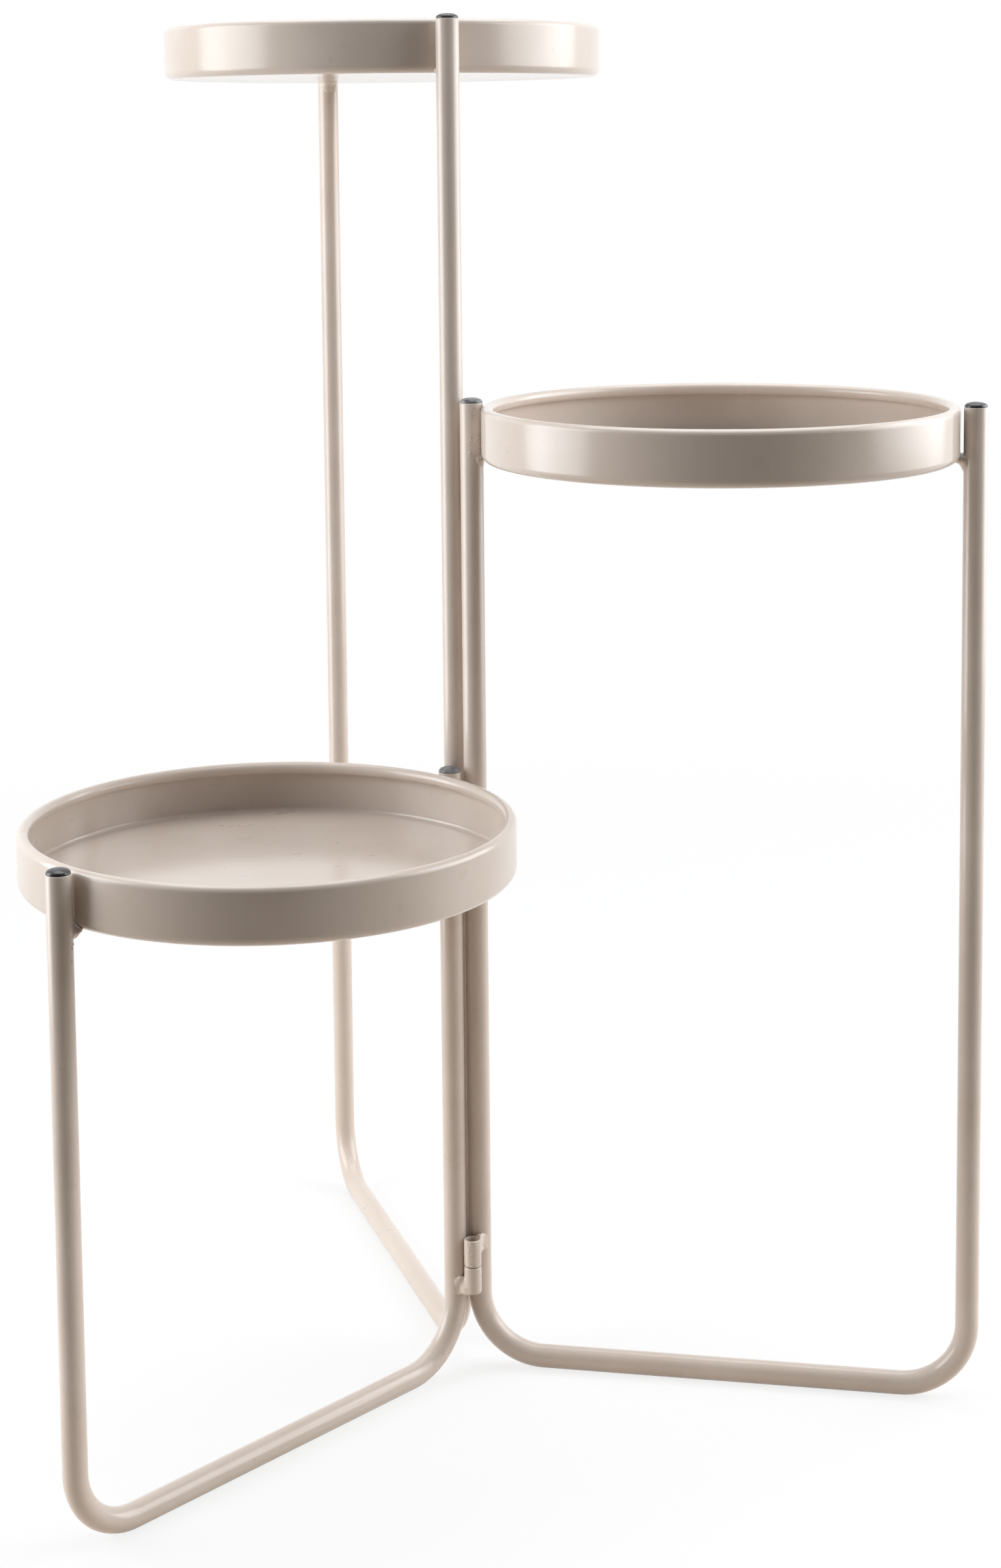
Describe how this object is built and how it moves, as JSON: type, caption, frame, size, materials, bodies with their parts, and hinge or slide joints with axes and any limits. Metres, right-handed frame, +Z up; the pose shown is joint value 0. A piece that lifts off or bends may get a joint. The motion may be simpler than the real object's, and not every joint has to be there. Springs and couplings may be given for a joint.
{
  "type": "tiered plant stand",
  "caption": "Folding plant stand: U-shaped tube frames of stepped height, hinged at their inner legs, each holding a round metal tray.",
  "frame": {"origin": "on the floor, under the middle of the open stand's bounding box", "axes": "+Z up; +X along the medium frame, from its inner leg to its outer leg; +Y towards the tall frame, so the low frame is at the front"},
  "size_m": [0.5002, 0.5158, 0.7728],
  "materials": {
    "powder_coat": "satin-gloss powder coat, warm pale greige",
    "cap_plastic": "glossy moulded, dark grey",
    "hinge_pin_steel": "drawn bar, plain"
  },
  "bodies": {
    "medium_frame": {"medium_frame_tube": "powder_coat", "medium_tray": "powder_coat", "medium_inner_tray_weld": "powder_coat", "medium_outer_tray_weld": "powder_coat", "medium_inner_cap": "cap_plastic", "medium_outer_cap": "cap_plastic", "low_bottom_hinge_upper_knuckle": "powder_coat", "low_bottom_hinge_upper_weld": "powder_coat", "low_top_hinge_upper_knuckle": "powder_coat", "low_top_hinge_upper_weld": "powder_coat", "tall_bottom_hinge_upper_knuckle": "powder_coat", "tall_bottom_hinge_upper_weld": "powder_coat", "tall_top_hinge_upper_knuckle": "powder_coat", "tall_top_hinge_upper_weld": "powder_coat"},
    "low_frame": {"low_frame_tube": "powder_coat", "low_tray": "powder_coat", "low_inner_tray_weld": "powder_coat", "low_outer_tray_weld": "powder_coat", "low_inner_cap": "cap_plastic", "low_outer_cap": "cap_plastic", "low_bottom_hinge_lower_knuckle": "powder_coat", "low_bottom_hinge_lower_weld": "powder_coat", "low_bottom_hinge_pin": "hinge_pin_steel", "low_top_hinge_lower_knuckle": "powder_coat", "low_top_hinge_lower_weld": "powder_coat", "low_top_hinge_pin": "hinge_pin_steel"},
    "tall_frame": {"tall_frame_tube": "powder_coat", "tall_tray": "powder_coat", "tall_inner_tray_weld": "powder_coat", "tall_outer_tray_weld": "powder_coat", "tall_inner_cap": "cap_plastic", "tall_outer_cap": "cap_plastic", "tall_bottom_hinge_lower_knuckle": "powder_coat", "tall_bottom_hinge_lower_weld": "powder_coat", "tall_bottom_hinge_pin": "hinge_pin_steel", "tall_top_hinge_lower_knuckle": "powder_coat", "tall_top_hinge_lower_weld": "powder_coat", "tall_top_hinge_pin": "hinge_pin_steel"}
  },
  "joints": [
    {"name": "low_fold", "type": "hinge", "parent": "medium_frame", "child": "low_frame", "pos_m": [-0.03509, -0.01436, 0.063], "axis": [0, 0, 1], "range_deg": [0, 122]},
    {"name": "tall_fold", "type": "hinge", "parent": "medium_frame", "child": "tall_frame", "pos_m": [-0.03468, 0.00914, 0.063], "axis": [0, 0, -1], "range_deg": [0, 118]}
  ]
}
